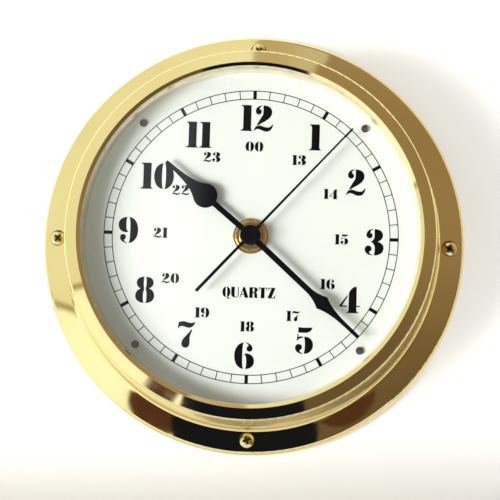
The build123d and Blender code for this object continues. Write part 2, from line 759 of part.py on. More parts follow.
def hour_hand():
    """Spade hand: a slim stem, a round bulb and a long concave spike."""
    stem = 0.98
    bulb_y = 20.7
    bulb_r = 4.2
    foot_y = bulb_y - (bulb_r**2 - stem**2) ** 0.5
    side_x = bulb_r * cos(radians(32))
    side_y = bulb_y + bulb_r * sin(radians(32))
    right = Line((0, 0), (stem, 0)) + Line((stem, 0), (stem, foot_y))
    right += ThreePointArc((stem, foot_y), (bulb_r, bulb_y), (side_x, side_y))
    right += Spline(
        (side_x, side_y),
        (0.95, HOUR_LENGTH - 7.5),
        (0.55, HOUR_LENGTH),
        tangents=[(-0.75, 1.0), (-0.05, 1.0)],
    )
    right += Line((0.55, HOUR_LENGTH), (0, HOUR_LENGTH))
    blade = hand_slab(right, HOUR_HAND_Z, HAND_THICK)
    hand = blade + disc(HOUR_HUB_R, HOUR_HAND_Z, HOUR_HAND_Z + HAND_THICK)
    return Rot(Z=-HOUR_ANGLE) * (hand - drill(HOUR_PIPE_R))


def minute_hand():
    """Stem, then a narrow lozenge with hollow flanks, then a long spike to the minute track."""
    stem = 1.0
    wide_y = 33.6
    right = Line((0, 0), (stem, 0)) + Line((stem, 0), (stem, wide_y - 6.2))
    right += Spline(
        (stem, wide_y - 6.2),
        (1.45, wide_y - 3.0),
        (2.65, wide_y),
        tangents=[(0.02, 1.0), (0.55, 1.0)],
    )
    right += Spline(
        (2.65, wide_y),
        (1.15, wide_y + 5.0),
        (0.6, MINUTE_LENGTH),
        tangents=[(-0.5, 1.0), (-0.03, 1.0)],
    )
    right += Line((0.6, MINUTE_LENGTH), (0, MINUTE_LENGTH))
    blade = hand_slab(right, MINUTE_HAND_Z, HAND_THICK)
    hand = blade + disc(MINUTE_HUB_R, MINUTE_HAND_Z, MINUTE_HAND_Z + HAND_THICK)
    return Rot(Z=-MINUTE_ANGLE) * (hand - drill(MINUTE_PIPE_R))


def second_hand():
    """Needle with a slightly wider counterweight tail."""
    outline = Polyline(
        (0.55, -SECOND_TAIL),
        (0.45, 0),
        (0.28, SECOND_LENGTH),
        (-0.28, SECOND_LENGTH),
        (-0.45, 0),
        (-0.55, -SECOND_TAIL),
        close=True,
    )
    hand = slab(outline, SECOND_HAND_Z, SECOND_HAND_Z + SECOND_THICK)
    hand += disc(SECOND_HUB_R, SECOND_HAND_Z, SECOND_HAND_Z + SECOND_THICK)
    return Rot(Z=-SECOND_ANGLE) * (hand - drill(PIVOT_R))


def second_hand_cap():
    base_z = SECOND_HAND_Z + SECOND_THICK
    return turned(
        (0, base_z), (CAP_R, base_z), (CAP_R, CAP_TOP_Z), (0, CAP_TOP_Z), radii=[0, 0, 0.55, 0]
    )


NODES = (
    case_body,
    bezel_ring,
    glass,
    glass_gasket,
    reveal_ring,
    dial_seat_ring,
    dial_plate,
    dial_screws,
    flange_screws,
    movement_front_case,
    movement_rear_cover,
    train_plate,
    threaded_bushing,
    rubber_washer,
    centre_washer,
    centre_nut,
    second_wheel,
    third_wheel,
    centre_wheel,
    cannon_pinion,
    minute_wheel,
    hour_wheel,
    intermediate_wheel,
    rotor_pinion,
    rotor_magnet,
    setting_knob,
    stator,
    coil_core,
    coil_bobbin,
    coil_winding,
    circuit_board,
    timing_chip,
    crystal_can,
    battery,
    contact_positive,
    contact_negative,
    hour_hand,
    minute_hand,
    second_hand,
    second_hand_cap,
)

os.makedirs("parts", exist_ok=True)
for make in NODES:
    write(make.__name__, make())
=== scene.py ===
import json
import math

import bmesh
import bpy
from mathutils import Matrix, Vector


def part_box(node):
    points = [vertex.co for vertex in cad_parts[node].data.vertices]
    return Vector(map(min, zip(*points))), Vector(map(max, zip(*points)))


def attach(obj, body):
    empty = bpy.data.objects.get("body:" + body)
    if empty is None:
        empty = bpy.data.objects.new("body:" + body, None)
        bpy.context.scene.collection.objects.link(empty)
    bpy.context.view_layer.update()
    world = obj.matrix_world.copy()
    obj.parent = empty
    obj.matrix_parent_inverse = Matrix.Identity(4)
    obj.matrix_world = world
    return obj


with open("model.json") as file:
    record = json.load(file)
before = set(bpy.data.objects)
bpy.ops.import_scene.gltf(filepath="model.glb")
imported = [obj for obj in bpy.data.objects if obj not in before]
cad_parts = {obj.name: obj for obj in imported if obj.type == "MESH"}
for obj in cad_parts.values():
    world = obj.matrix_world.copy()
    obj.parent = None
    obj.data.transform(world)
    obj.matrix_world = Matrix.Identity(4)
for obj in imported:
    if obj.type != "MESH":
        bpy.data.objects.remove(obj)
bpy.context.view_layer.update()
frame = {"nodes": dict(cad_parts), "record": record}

# Ship's deck clock. Metres, in the CAD's frame: the dial faces -Y, 12 o'clock is +Z.
# The CAD gives every solid piece. This script adds what CAD doesn't carry, the dial's print and
# the screw threads, then the finishes, the studio and the camera.

MM = 0.001


# ---- places read from the frame ----

DIAL_LOW, DIAL_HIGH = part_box("dial_plate")
DIAL_FRONT = DIAL_LOW.y                       # the printed face
DIAL_R = (DIAL_HIGH.x - DIAL_LOW.x) / 2
CASE_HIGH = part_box("case_body")[1]
BULKHEAD_Y = CASE_HIGH.y
FLANGE_R = CASE_HIGH.x
SCREW_HEAD_R = 2.75 * MM                      # flange screws
RECESS_R = 1.6 * MM                           # their cross recess reaches this far out
RECESS_LIP = .3 * MM
DIAL_PATTERN = DIAL_R / (60.8 * MM)           # the print's sizes below suit a 60.8 mm dial


# ---- dial print sizes, metres ----

INK_THICK = 0.03 * MM * DIAL_PATTERN
TRACK_INNER_R = 48.3 * MM * DIAL_PATTERN
TRACK_OUTER_R = 51.2 * MM * DIAL_PATTERN
TRACK_LINE = 0.3 * MM * DIAL_PATTERN
TRACK_BOLD = 1.2 * MM * DIAL_PATTERN
HOUR_HEIGHT = 9.2 * MM * DIAL_PATTERN
HOUR_REACH = 46.3 * MM * DIAL_PATTERN         # circle that the hour numerals touch
HOUR_TURN = 1.3                               # degrees they sit clockwise of the track
HOUR_GAP = .05                                # between a label's figures, for one unit of height
SMALL_HEIGHT = 3.55 * MM * DIAL_PATTERN       # the 13 to 00 numerals
SMALL_BROAD = 1.12                            # they are broader for their height
SMALL_GAP = .07
SMALL_R = 31.5 * MM * DIAL_PATTERN
SMALL_TURN = .6
SMALL_SHIFT = {10: (2.1 * MM, -.5 * MM), 11: (1.0 * MM, 0)}    # clear of the wide hour numerals
WORD_Z = -19.7 * MM * DIAL_PATTERN
WORD_HEIGHT = 3.7 * MM * DIAL_PATTERN
WORD_GAP = .08


# ---- stencil figures and plain heavy capitals ----
# Each is drawn one unit high from its baseline: its width, then its strokes as closed outlines.
# An outline inside another is a hole. M starts an outline, L draws a line and C a Bezier curve.

LEFT_BOWL = (
    "M .35 1 C .14 .98 0 .78 0 .5 C 0 .22 .14 .02 .35 0"
    " C .31 .08 .3 .2 .3 .5 C .3 .8 .31 .92 .35 1"
)
UPPER_BALL = (
    "M .3 1 C .16 .99 .055 .9 .055 .77 C .055 .7 .11 .645 .175 .645 C .24 .645 .285 .69 .285 .75"
    " C .285 .8 .25 .84 .2 .855 C .21 .92 .25 .96 .3 .97"
)
Q_TAIL = "M .42 -.01 L .5 -.15 L .76 -.15 L .6 0 L .5 -.015"
LOWER_BALL = (
    "M .29 0 C .12 0 0 .09 0 .23 C 0 .31 .06 .365 .135 .365 C .21 .365 .26 .315 .26 .25"
    " C .26 .19 .22 .15 .165 .13 C .18 .07 .23 .035 .29 .03"
)
FIGURES = {
    "1": (.46, [
        "M 0 0 L .46 0 L .46 .03 C .42 .045 .4 .07 .4 .12 L .4 1 L .01 1 L .01 .97"
        " C .07 .96 .1 .93 .1 .87 L .1 .12 C .1 .07 .06 .045 0 .03",
    ]),
    "2": (.73, [
        UPPER_BALL,
        "M .345 1 C .55 1 .68 .9 .68 .74 C .68 .59 .56 .47 .4 .375 C .28 .31 .2 .27 .16 .2"
        " L .1 .2 C .14 .31 .2 .42 .27 .53 C .33 .62 .345 .66 .345 .74",
        "M 0 .02 C .03 .15 .08 .225 .17 .225 C .3 .225 .38 .155 .52 .155 C .6 .155 .65 .19 .69 .27"
        " L .73 .27 C .71 .1 .62 -.01 .48 -.01 C .34 -.01 .26 .085 .15 .085"
        " C .1 .085 .06 .06 .035 .02",
    ]),
    "3": (.71, [
        UPPER_BALL,
        "M .35 1 C .55 1 .68 .91 .68 .76 C .68 .64 .6 .56 .48 .52 C .62 .49 .71 .4 .71 .27"
        " C .71 .1 .55 -.01 .35 0 L .35 .03 C .37 .1 .375 .17 .375 .25 C .375 .38 .33 .46 .24 .5"
        " L .24 .535 C .32 .56 .36 .64 .36 .75 C .36 .84 .36 .92 .35 1",
        LOWER_BALL,
    ]),
    "4": (.77, [
        "M .27 0 L .715 0 L .715 .03 C .67 .04 .64 .07 .64 .12 L .64 .235 L .77 .235 L .77 .28"
        " L .64 .28 L .64 .96 C .64 1 .58 1.01 .54 .985 C .42 .92 .345 .8 .345 .69 L .345 .12"
        " C .345 .07 .32 .04 .27 .03",
        "M 0 .235 L .3 .235 L .3 .28 L .1 .28 L .3 .6 L .3 .69 L 0 .28",
    ]),
    "5": (.67, [
        "M .105 .79 L .105 1 C .2 .985 .3 .985 .38 .985 C .48 .985 .56 .99 .635 1"
        " C .62 .87 .52 .79 .36 .79 C .28 .79 .2 .8 .105 .79",
        "M .055 .49 L .08 .745 L .115 .745 L .12 .63 C .17 .655 .23 .66 .29 .645 L .29 .6"
        " C .19 .6 .11 .55 .09 .49",
        "M .335 .65 C .53 .65 .67 .53 .67 .33 C .67 .13 .52 0 .335 0 L .335 .035"
        " C .36 .12 .365 .22 .365 .33 C .365 .44 .36 .53 .335 .6",
        LOWER_BALL,
    ]),
    "6": (.75, [
        LEFT_BOWL,
        "M .42 1 C .57 .98 .68 .89 .68 .78 C .68 .7 .63 .66 .565 .66 C .5 .66 .455 .705 .455 .765"
        " C .455 .82 .49 .86 .53 .875 C .52 .925 .48 .96 .42 .97",
        "M .38 .57 C .42 .585 .44 .59 .48 .585 C .65 .575 .75 .45 .75 .29 C .75 .12 .62 .01 .42 0"
        " C .45 .06 .455 .15 .455 .28 C .455 .42 .44 .52 .38 .545",
    ]),
    "7": (.66, [
        "M 0 .72 L .03 .98 C .06 .95 .1 .985 .17 .995 C .28 1.01 .36 .94 .48 .94"
        " C .56 .94 .6 .95 .66 .985 C .62 .83 .53 .76 .42 .755 C .32 .75 .24 .81 .15 .81"
        " C .09 .81 .05 .78 .035 .72",
        "M .55 .66 C .5 .55 .45 .45 .455 .33 C .46 .27 .465 .2 .455 .14 C .44 .05 .38 0 .305 0"
        " C .22 0 .15 .06 .15 .16 C .15 .3 .3 .45 .42 .57 C .46 .61 .48 .65 .5 .69",
    ]),
    "8": (.715, [
        "M .325 1 C .14 .99 .04 .9 .04 .77 C .04 .66 .1 .59 .2 .545 C .07 .51 0 .4 0 .27"
        " C 0 .11 .13 .01 .325 0 C .3 .05 .29 .14 .29 .26 C .29 .36 .3 .44 .325 .5 L .325 .58"
        " C .31 .62 .305 .69 .305 .77 C .305 .87 .31 .95 .325 1",
        "M .39 1 C .58 .99 .68 .9 .68 .77 C .68 .66 .61 .6 .51 .555 C .64 .52 .715 .41 .715 .27"
        " C .715 .11 .585 .01 .39 0 C .41 .05 .425 .14 .425 .26 C .425 .36 .415 .44 .39 .5"
        " L .39 .58 C .405 .62 .41 .69 .41 .77 C .41 .87 .405 .95 .39 1",
    ]),
    "U": (.7, [
        "M 0 1 L .32 1 L .32 .3 C .32 .14 .36 .06 .46 .06 C .58 .06 .62 .16 .62 .3 L .62 1 L .7 1"
        " L .7 .28 C .7 .08 .58 0 .4 0 C .14 0 0 .1 0 .34",
    ]),
    "A": (.84, [
        "M 0 0 L .08 0 L .17 .26 L .42 .26 L .5 0 L .84 0 L .5 1 L .34 1",
        "M .2 .33 L .4 .33 L .3 .68",
    ]),
    "R": (.8, [
        "M 0 0 L .32 0 L .32 .46 L .38 .46 C .44 .46 .46 .42 .46 .34 L .46 .16"
        " C .46 .05 .52 0 .62 0 L .8 0 L .8 .06 C .75 .06 .74 .1 .74 .18 L .74 .3"
        " C .74 .44 .68 .5 .58 .52 C .7 .55 .77 .63 .77 .75 C .77 .92 .64 1 .46 1 L 0 1",
        "M .32 .55 L .38 .55 C .45 .57 .47 .64 .47 .75 C .47 .86 .45 .93 .38 .94 L .32 .94",
    ]),
    "T": (.76, [
        "M .2 0 L .54 0 L .54 .93 L .62 .93 C .68 .9 .71 .82 .72 .7 L .76 .7 L .76 1 L 0 1"
        " L 0 .7 L .04 .7 C .05 .82 .08 .9 .14 .93 L .2 .93",
    ]),
    "Z": (.72, [
        "M 0 0 L .7 0 L .72 .34 L .68 .34 C .66 .15 .58 .07 .44 .07 L .36 .07 L .7 .95 L .7 1"
        " L .04 1 L .02 .7 L .06 .7 C .08 .86 .16 .93 .28 .93 L .34 .93 L 0 .05",
    ]),
}


def outline_points(path):
    """An outline string as a list of (point, handle before it, handle after it), closed."""
    words = path.split()
    knots = []
    i = 0
    while i < len(words):
        count = {"M": 2, "L": 2, "C": 6}[words[i]]
        values = [float(word) for word in words[i + 1:i + 1 + count]]
        point = Vector((values[-2], values[-1], 0))
        before = point
        if count == 6:
            knots[-1][2] = Vector((values[0], values[1], 0))
            before = Vector((values[2], values[3], 0))
        knots.append([point, before, point])
        i += 1 + count
    if (knots[0][0] - knots[-1][0]).length < 1e-6:
        knots[0][1] = knots.pop()[1]
    return knots


def turned_over(knots, width):
    """The same outline turned half a turn about the middle of its figure."""
    middle = Vector((width, 1, 0))
    return [[middle - place for place in knot] for knot in knots]


def figure(sign):
    """Width and outlines of one sign. A nine is a turned six, and a nought or Q two bowls."""
    if sign in "0Q":
        bowl = outline_points(LEFT_BOWL)
        tail = [outline_points(Q_TAIL)] if sign == "Q" else []
        return .75, [bowl, turned_over(bowl, .75), *tail]
    if sign == "9":
        width, outlines = figure("6")
        return width, [turned_over(knots, width) for knots in outlines]
    width, outlines = FIGURES[sign]
    return width, [outline_points(path) for path in outlines]


def text_width(text, gap):
    return sum(figure(sign)[0] for sign in text) + gap * (len(text) - 1)


# ---- making pieces ----

def add_object(name, data):
    piece = bpy.data.objects.new(name, data)
    bpy.context.scene.collection.objects.link(piece)
    return piece


def as_mesh(curve_piece):
    """Turns a curve or text object into a mesh object of the same name, in the same place."""
    graph = bpy.context.evaluated_depsgraph_get()
    mesh = bpy.data.meshes.new_from_object(curve_piece.evaluated_get(graph))
    mesh.transform(curve_piece.matrix_world)
    name = curve_piece.name
    bpy.data.objects.remove(curve_piece)
    return add_object(name, mesh)


def ink_place(y=None):
    """Stands a flat drawing up on the dial: drawing X to +X, drawing Y to +Z."""
    front = DIAL_FRONT - INK_THICK / 2 if y is None else y
    return Matrix.Translation((0, front, 0)) @ Matrix.Rotation(math.pi / 2, 4, "X")


def print_figures(name, labels, height, gap, broad=1.0):
    """Prints labels as thin raised ink. labels holds (text, x, z) with the label's middle."""
    curve = bpy.data.curves.new(name, "CURVE")
    curve.dimensions = "2D"
    curve.fill_mode = "BOTH"
    curve.resolution_u = 8
    curve.extrude = INK_THICK / 2
    for text, x, z in labels:
        left = x - text_width(text, gap) * broad * height / 2
        for sign in text:
            width, outlines = figure(sign)
            for knots in outlines:
                spline = curve.splines.new("BEZIER")
                spline.bezier_points.add(len(knots) - 1)
                spline.use_cyclic_u = True
                for bezier, places in zip(spline.bezier_points, knots):
                    bezier.handle_left_type = bezier.handle_right_type = "FREE"
                    at, before, after = [
                        Vector((left + p.x * broad * height, z + (p.y - .5) * height, 0))
                        for p in places
                    ]
                    bezier.co, bezier.handle_left, bezier.handle_right = at, before, after
            left += (width + gap) * broad * height
    piece = add_object(name, curve)
    piece.matrix_world = ink_place()
    bpy.context.view_layer.update()
    return as_mesh(piece)


def hour_labels():
    """Upright numerals whose boxes all touch one circle."""
    labels = []
    for hour in range(1, 13):
        text = str(hour)
        turn = math.radians(30 * hour + HOUR_TURN)
        half_wide = text_width(text, HOUR_GAP) * HOUR_HEIGHT / 2
        support = half_wide * abs(math.sin(turn)) + HOUR_HEIGHT / 2 * abs(math.cos(turn))
        radius = HOUR_REACH - support
        labels.append((text, radius * math.sin(turn), radius * math.cos(turn)))
    return labels


def afternoon_labels():
    labels = []
    for hour in range(12):
        turn = math.radians(30 * hour + SMALL_TURN)
        text = str(hour + 12) if hour else "00"
        right, up = SMALL_SHIFT.get(hour, (0, 0))
        labels.append((text, SMALL_R * math.sin(turn) + right, SMALL_R * math.cos(turn) + up))
    return labels


def plate(bm, corners, y_back, y_front):
    """A thin raised patch on the dial from its (x, z) corners."""
    back = [bm.verts.new((x, y_back, z)) for x, z in corners]
    front = [bm.verts.new((x, y_front, z)) for x, z in corners]
    bm.faces.new(front)
    bm.faces.new(back[::-1])
    count = len(corners)
    for i in range(count):
        j = (i + 1) % count
        bm.faces.new((front[j], front[i], back[i], back[j]))


def flat_ring(bm, inner, outer, y_back, y_front, steps=360):
    """A thin raised ring round the dial's centre."""
    loops = []
    for radius, y in ((inner, y_back), (inner, y_front), (outer, y_front), (outer, y_back)):
        loops.append([
            bm.verts.new((radius * math.sin(turn), y, radius * math.cos(turn)))
            for turn in (2 * math.pi * k / steps for k in range(steps))
        ])
    for a, b in zip(loops, loops[1:] + loops[:1]):
        for k in range(steps):
            following = (k + 1) % steps
            bm.faces.new((a[k], a[following], b[following], b[k]))


def mesh_piece(name, bm):
    bmesh.ops.recalc_face_normals(bm, faces=bm.faces)
    mesh = bpy.data.meshes.new(name)
    bm.to_mesh(mesh)
    bm.free()
    return add_object(name, mesh)


def minute_track():
    """Two thin circles, a thin line for each minute and a bold one for each five."""
    bm = bmesh.new()
    front = DIAL_FRONT - INK_THICK
    back = DIAL_FRONT
    half = TRACK_LINE / 2
    for radius in (TRACK_INNER_R, TRACK_OUTER_R):
        flat_ring(bm, radius - half, radius + half, back, front)
    for minute in range(60):
        bold = minute % 5 == 0
        wide = TRACK_BOLD / 2 if bold else half
        turn = Matrix.Rotation(-math.radians(6 * minute), 2)
        low = TRACK_INNER_R + half
        high = TRACK_OUTER_R - half
        upright = ((-wide, low), (wide, low), (wide, high), (-wide, high))
        plate(bm, [turn @ Vector(corner) for corner in upright], back, front)
    return mesh_piece("minute_track", bm)


def screw_threads():
    """Sharp helical ridges round the four wood screws behind the flange."""
    bm = bmesh.new()
    steps_per_turn, pitch, base_r, crest = 24, 1.25 * MM, 1.42 * MM, .28 * MM
    half_ridge, plain_shank, point_length = .3 * MM, .6 * MM, 5.2 * MM
    fade_steps = 12
    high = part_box("flange_screws")[1]
    circle_r = high.x - SCREW_HEAD_R
    start, end = BULKHEAD_Y + plain_shank, high.y - point_length
    turns = (end - start) / pitch
    for quarter in range(4):
        angle = math.pi / 2 * quarter
        centre = Vector((circle_r * math.sin(angle), 0, circle_r * math.cos(angle)))
        count = int(turns * steps_per_turn)
        previous = None
        for k in range(count + 1):
            turn = 2 * math.pi * k / steps_per_turn
            y = start + pitch * k / steps_per_turn
            fade = min(1, k / fade_steps, (count - k) / fade_steps)
            out = Vector((math.sin(turn), 0, math.cos(turn)))
            section = [
                bm.verts.new(centre + out * base_r + Vector((0, y - half_ridge, 0))),
                bm.verts.new(centre + out * (base_r + crest * fade) + Vector((0, y, 0))),
                bm.verts.new(centre + out * base_r + Vector((0, y + half_ridge, 0))),
            ]
            if previous:
                for i in range(3):
                    j = (i + 1) % 3
                    bm.faces.new((previous[i], previous[j], section[j], section[i]))
            else:
                bm.faces.new(section)
            previous = section
        bm.faces.new(previous[::-1])
    return mesh_piece("screw_threads", bm)


# ---- materials ----

class Finish:
    """A node material with one Principled shader, and helpers that wire patterns into it."""

    def __init__(self, name):
        self.material = bpy.data.materials.new(name)
        self.material.use_nodes = True
        self.tree = self.material.node_tree
        self.tree.nodes.clear()
        self.out = self.tree.nodes.new("ShaderNodeOutputMaterial")
        self.shader = self.tree.nodes.new("ShaderNodeBsdfPrincipled")
        self.join(self.shader.outputs["BSDF"], self.out.inputs["Surface"])
        place = self.tree.nodes.new("ShaderNodeTexCoord")
        self.place = place.outputs["Object"]

    def join(self, output, socket):
        self.tree.links.new(output, socket)

    def set(self, **values):
        for name, value in values.items():
            self.shader.inputs[name.replace("_", " ")].default_value = value
        return self

    def noise(self, scale, detail=3, stretch=(1, 1, 1)):
        """A noise pattern with features of about 1/scale metres, as a 0 to 1 socket."""
        mapping = self.tree.nodes.new("ShaderNodeMapping")
        mapping.inputs["Scale"].default_value = stretch
        noise = self.tree.nodes.new("ShaderNodeTexNoise")
        noise.inputs["Scale"].default_value = scale
        noise.inputs["Detail"].default_value = detail
        self.join(self.place, mapping.inputs["Vector"])
        self.join(mapping.outputs["Vector"], noise.inputs["Vector"])
        return noise.outputs["Fac"]

    def rings(self, scale):
        """Fine lathe rings about the clock's axis."""
        wave = self.tree.nodes.new("ShaderNodeTexWave")
        wave.wave_type = "RINGS"
        wave.rings_direction = "Y"
        wave.inputs["Scale"].default_value = scale
        wave.inputs["Distortion"].default_value = .6
        wave.inputs["Detail"].default_value = 2
        self.join(self.place, wave.inputs["Vector"])
        return wave.outputs["Fac"]

    def bands(self, scale, direction):
        wave = self.tree.nodes.new("ShaderNodeTexWave")
        wave.bands_direction = direction
        wave.inputs["Scale"].default_value = scale
        self.join(self.place, wave.inputs["Vector"])
        return wave.outputs["Fac"]

    def spread(self, fac, low, high, start=.3, end=.7):
        """Maps a pattern's start..end to low..high."""
        ranged = self.tree.nodes.new("ShaderNodeMapRange")
        limits = {"From Min": start, "From Max": end, "To Min": low, "To Max": high}
        for name, value in limits.items():
            ranged.inputs[name].default_value = value
        self.join(fac, ranged.inputs["Value"])
        return ranged.outputs["Result"]

    def blend(self, fac, low, high):
        """Mixes two colours (or colour sockets) by a pattern."""
        mix = self.tree.nodes.new("ShaderNodeMix")
        mix.data_type = "RGBA"
        self.join(fac, mix.inputs["Factor"])
        for socket, colour in ((mix.inputs[6], low), (mix.inputs[7], high)):
            if isinstance(colour, bpy.types.NodeSocket):
                self.join(colour, socket)
            else:
                socket.default_value = (*colour, 1)
        return mix.outputs[2]

    def sum_of(self, a, b, operation="ADD"):
        maths = self.tree.nodes.new("ShaderNodeMath")
        maths.operation = operation
        for socket, value in zip(maths.inputs, (a, b)):
            if isinstance(value, bpy.types.NodeSocket):
                self.join(value, socket)
            else:
                socket.default_value = value
        return maths.outputs[0]

    def colour(self, output):
        self.join(output, self.shader.inputs["Base Color"])
        return self

    def mottle(self, scale, low, high):
        """Colours the surface in soft patches between two colours."""
        return self.colour(self.blend(self.spread(self.noise(scale), 0, 1), low, high))

    def roughness(self, output):
        self.join(output, self.shader.inputs["Roughness"])
        return self

    def bump(self, height, distance, strength=1.0):
        bump = self.tree.nodes.new("ShaderNodeBump")
        bump.inputs["Distance"].default_value = distance
        bump.inputs["Strength"].default_value = strength
        self.join(height, bump.inputs["Height"])
        self.join(bump.outputs["Normal"], self.shader.inputs["Normal"])
        return self


def off_axis(finish):
    """The vector from the clock's axis to each point."""
    flat = finish.tree.nodes.new("ShaderNodeVectorMath")
    flat.operation = "MULTIPLY"
    flat.inputs[1].default_value = (1, 0, 1)
    finish.join(finish.place, flat.inputs[0])
    return flat.outputs[0]


def flange_crown(finish):
    """Height that gives the flat-turned flange the slight crown that hand polishing leaves."""
    length = finish.tree.nodes.new("ShaderNodeVectorMath")
    length.operation = "LENGTH"
    finish.join(off_axis(finish), length.inputs[0])
    inner = FLANGE_R - CROWN_WIDE
    radius = finish.sum_of(length.outputs["Value"], inner, "MAXIMUM")
    from_middle = finish.sum_of(radius, FLANGE_R - CROWN_WIDE / 2, "SUBTRACT")
    squared = finish.sum_of(from_middle, from_middle, "MULTIPLY")
    return finish.sum_of(squared, -CROWN_TILT / CROWN_WIDE, "MULTIPLY")


def outward(finish):
    """How far a surface faces away from the clock's axis: 1 on outer walls, -1 in bores."""
    nodes = finish.tree.nodes
    geometry = nodes.new("ShaderNodeNewGeometry")
    radial = nodes.new("ShaderNodeVectorMath")
    radial.operation = "NORMALIZE"
    finish.join(off_axis(finish), radial.inputs[0])
    dot = nodes.new("ShaderNodeVectorMath")
    dot.operation = "DOT_PRODUCT"
    finish.join(radial.outputs[0], dot.inputs[0])
    finish.join(geometry.outputs["Normal"], dot.inputs[1])
    return dot.outputs["Value"], geometry.outputs["Normal"]


def hidden_mask(finish, facing_out, normal):
    """1 on the lathe-cut back of a turned shell and inside it behind the dial, 0 elsewhere."""
    nodes = finish.tree.nodes
    split = nodes.new("ShaderNodeSeparateXYZ")
    finish.join(normal, split.inputs[0])
    depth = nodes.new("ShaderNodeSeparateXYZ")
    finish.join(finish.place, depth.inputs[0])
    behind_dial = finish.sum_of(depth.outputs["Y"], DIAL_FRONT, "GREATER_THAN")
    inside = finish.sum_of(finish.sum_of(facing_out, -.2, "LESS_THAN"), behind_dial, "MULTIPLY")
    rear = finish.sum_of(split.outputs["Y"], .5, "GREATER_THAN")
    return finish.sum_of(inside, rear, "MAXIMUM")


BRASS_BRIGHT = (.83, .68, .28)
BRASS_DEEP = (.79, .63, .24)
BRASS_TURNED = (.62, .46, .19)
LATHE_RINGS = 900                             # wave scale of the tool marks inside the case
CROWN_WIDE = 7.6 * MM                         # polished width of the flange
CROWN_TILT = .026                             # its edges lean this much, in radians
WALL_DULLER = .2                              # roughness that the side walls have over the faces


def polished_brass():
    """Lacquered brass: mirror-polished faces, softer side walls, dull and ring-turned inside."""
    finish = Finish("polished_brass").set(Metallic=1, Coat_Weight=.35, Coat_Roughness=.03)
    facing_out, normal = outward(finish)
    hidden = hidden_mask(finish, facing_out, normal)
    tint = finish.blend(finish.spread(finish.noise(35), 0, 1), BRASS_DEEP, BRASS_BRIGHT)
    finish.colour(finish.blend(hidden, tint, BRASS_TURNED))
    polish = finish.spread(finish.noise(220, 5), .035, .075)
    wall = finish.spread(facing_out, 0, WALL_DULLER, .93, .98)
    polish = finish.sum_of(polish, wall)
    turned = finish.spread(finish.rings(LATHE_RINGS), .22, .36, 0, 1)
    mixed = finish.tree.nodes.new("ShaderNodeMix")
    finish.join(hidden, mixed.inputs["Factor"])
    finish.join(polish, mixed.inputs[2])
    finish.join(turned, mixed.inputs[3])
    finish.roughness(mixed.outputs[0])
    ripple = finish.spread(finish.noise(90, 2), 0, .006 * MM)
    grooves = finish.sum_of(finish.rings(LATHE_RINGS), hidden, "MULTIPLY")
    grooves = finish.sum_of(grooves, .004 * MM, "MULTIPLY")
    fine = finish.sum_of(ripple, grooves)
    return finish.bump(finish.sum_of(fine, flange_crown(finish)), 1).material


def satin_brass():
    """Pale satin-turned brass, for the ring between dial and glass."""
    finish = Finish("satin_brass").set(Metallic=1)
    finish.mottle(200, (.84, .75, .59), (.90, .83, .68))
    finish.roughness(finish.spread(finish.rings(3200), .16, .24, 0, 1))
    return finish.bump(finish.rings(3200), .002 * MM).material


def screw_brass():
    """Polished brass with the cross recess in each head dull, and painted dark there as shade in
    the recess.
    """
    finish = Finish("screw_brass").set(Metallic=1)
    nodes = finish.tree.nodes
    size = nodes.new("ShaderNodeVectorMath")
    size.operation = "ABSOLUTE"
    finish.join(finish.place, size.inputs[0])
    split = nodes.new("ShaderNodeSeparateXYZ")
    finish.join(size.outputs[0], split.inputs[0])
    low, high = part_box("flange_screws")
    along = finish.sum_of(split.outputs["X"], split.outputs["Z"], "MAXIMUM")
    along = finish.sum_of(along, high.x - SCREW_HEAD_R, "SUBTRACT")
    across = finish.sum_of(split.outputs["X"], split.outputs["Z"], "MINIMUM")
    squares = [finish.sum_of(value, value, "MULTIPLY") for value in (along, across)]
    near = finish.sum_of(finish.sum_of(*squares), RECESS_R ** 2, "LESS_THAN")
    sunk = finish.sum_of(split.outputs["Y"], -low.y - RECESS_LIP, "LESS_THAN")
    recess = finish.sum_of(near, sunk, "MULTIPLY")
    tint = finish.blend(finish.spread(finish.noise(400), 0, 1), BRASS_DEEP, BRASS_BRIGHT)
    # painted shade: the cross recess is painted dark brown
    finish.colour(finish.blend(recess, tint, (.22, .14, .065)))
    finish.roughness(finish.sum_of(finish.spread(finish.noise(900), .08, .16), recess))
    return finish.bump(finish.noise(700), .003 * MM).material


def turned_brass():
    """Fine-turned brass with lathe rings left on it."""
    finish = Finish("turned_brass").set(Metallic=1)
    finish.mottle(300, (.52, .34, .13), (.64, .45, .19))
    finish.roughness(finish.spread(finish.rings(2600), .14, .26, 0, 1))
    return finish.bump(finish.rings(2600), .004 * MM).material


def lacquer_black():
    finish = Finish("hand_black").set(Specular_IOR_Level=.07)
    finish.mottle(900, (.002, .002, .003), (.004, .004, .006))
    finish.roughness(finish.spread(finish.noise(2500), .26, .4))
    return finish.bump(finish.noise(3000), .002 * MM).material


def dial_enamel():
    """Satin white dial enamel with a very faint cool cast and orange peel."""
    finish = Finish("dial_white").set(Coat_Weight=.15, Coat_Roughness=.25)
    finish.mottle(25, (.80, .84, .79), (.82, .86, .81))
    finish.roughness(finish.spread(finish.noise(1200), .42, .52))
    return finish.bump(finish.noise(1500), .003 * MM).material


def printing_ink():
    finish = Finish("printing_ink").set(Specular_IOR_Level=.05)
    finish.mottle(1800, (.002, .002, .003), (.004, .004, .005))
    finish.roughness(finish.spread(finish.noise(4000), .38, .55))
    return finish.bump(finish.noise(6000), .001 * MM).material


